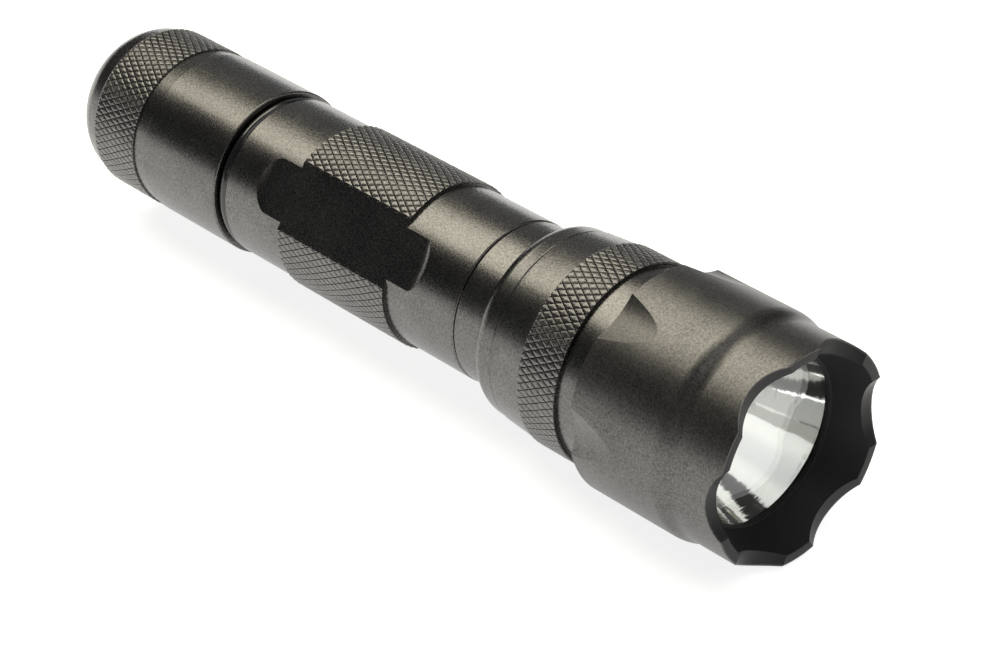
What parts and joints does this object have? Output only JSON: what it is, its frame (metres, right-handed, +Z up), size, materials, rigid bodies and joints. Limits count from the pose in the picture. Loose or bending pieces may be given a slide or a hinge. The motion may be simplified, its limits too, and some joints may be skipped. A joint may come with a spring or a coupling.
{
  "type": "tactical flashlight",
  "caption": "Slim metal torch with a knurled screw-on tail cap, a push button, a knurled head and a flared bezel with a scalloped crown and arched flutes.",
  "frame": {"origin": "middle of the bounding box, on the plane that the bezel's lowest point touches", "axes": "+X along the torch's axis, the way the beam shines; +Z up; the axis is 16.55 mm above the origin"},
  "size_m": [0.1386, 0.0332, 0.0331],
  "materials": {
    "anodised_body": "hard anodised, near black with a grey sheen, fine blasted grain",
    "seal_rubber": "glossy greased nitrile rubber",
    "boot_rubber": "matt black silicone rubber",
    "white_nylon": "natural nylon sheet",
    "black_nylon": "moulded black nylon",
    "circuit_board": "green solder mask over glass fibre",
    "led_board": "white solder mask on a metal-core board",
    "chip_plastic": "moulded component bodies",
    "lead_cover": "red insulated wire",
    "bright_aluminium": "bare turned aluminium",
    "mirror_coat": "turned aluminium with a smooth vacuum-plated mirror",
    "pill_brass": "turned brass",
    "plated_spring": "gold-flashed spring wire",
    "plated_steel": "nickel-plated steel",
    "cell_core": "nickel-plated can, with the mean density of a wound cell",
    "cell_sleeve": "plain shrink sleeve",
    "led_ceramic": "white ceramic with a yellow phosphor patch",
    "led_silicone": "clear silicone dome",
    "lens_glass": "coated flat glass"
  },
  "bodies": {
    "tube": {"battery_tube": "anodised_body", "tail_seal": "seal_rubber", "head_seal": "seal_rubber"},
    "cell": {"cell_can": "cell_core", "cell_wrap": "cell_sleeve", "cell_button": "plated_steel", "cell_insulator": "white_nylon"},
    "tail_cap": {"tail_cap": "anodised_body", "switch_boot": "boot_rubber", "boot_washer": "white_nylon", "switch_housing": "black_nylon", "switch_board": "circuit_board", "switch_lock_ring": "bright_aluminium", "tail_spring": "plated_spring", "switch_spring": "plated_spring"},
    "button": {"switch_plunger": "black_nylon"},
    "module": {"reflector": "mirror_coat", "pill": "pill_brass", "led_board": "led_board", "led_base": "led_ceramic", "led_dome": "led_silicone", "led_leads": "lead_cover", "driver_board": "circuit_board", "driver_parts": "chip_plastic", "driver_spring": "plated_spring", "module_spring": "plated_spring"},
    "head": {"head": "anodised_body", "bezel_seal": "seal_rubber"},
    "lens": {"lens": "lens_glass", "lens_seal": "seal_rubber"},
    "bezel": {"bezel": "anodised_body"}
  },
  "joints": [
    {"name": "tail_travel", "type": "slide", "parent": "tube", "child": "cell", "axis": [-1, 0, 0], "range_m": [0, 0.01]},
    {"name": "tail_turn", "type": "hinge", "parent": "cell", "child": "tail_cap", "pos_m": [0, 0, 0.01655], "axis": [-1, 0, 0], "range_deg": [0, 3600]},
    {"name": "button_press", "type": "slide", "parent": "tail_cap", "child": "button", "axis": [1, 0, 0], "range_m": [0, 0.0018], "stiffness_N_per_m": 2500, "springref_m": -0.001, "deforming": ["switch_boot", "switch_spring"]},
    {"name": "head_travel", "type": "slide", "parent": "tube", "child": "module", "axis": [1, 0, 0], "range_m": [0, 0.009]},
    {"name": "head_turn", "type": "hinge", "parent": "module", "child": "head", "pos_m": [0, 0, 0.01655], "axis": [1, 0, 0], "range_deg": [0, 3240]},
    {"name": "bezel_travel", "type": "slide", "parent": "head", "child": "lens", "axis": [1, 0, 0], "range_m": [0, 0.008]},
    {"name": "bezel_turn", "type": "hinge", "parent": "lens", "child": "bezel", "pos_m": [0, 0, 0.01655], "axis": [1, 0, 0], "range_deg": [0, 2880]}
  ],
  "couplings": [
    {"joint": "tail_turn", "follows": "tail_travel", "rad_per_m": 6283.2},
    {"joint": "head_turn", "follows": "head_travel", "rad_per_m": 6283.2},
    {"joint": "bezel_turn", "follows": "bezel_travel", "rad_per_m": 6283.2}
  ]
}
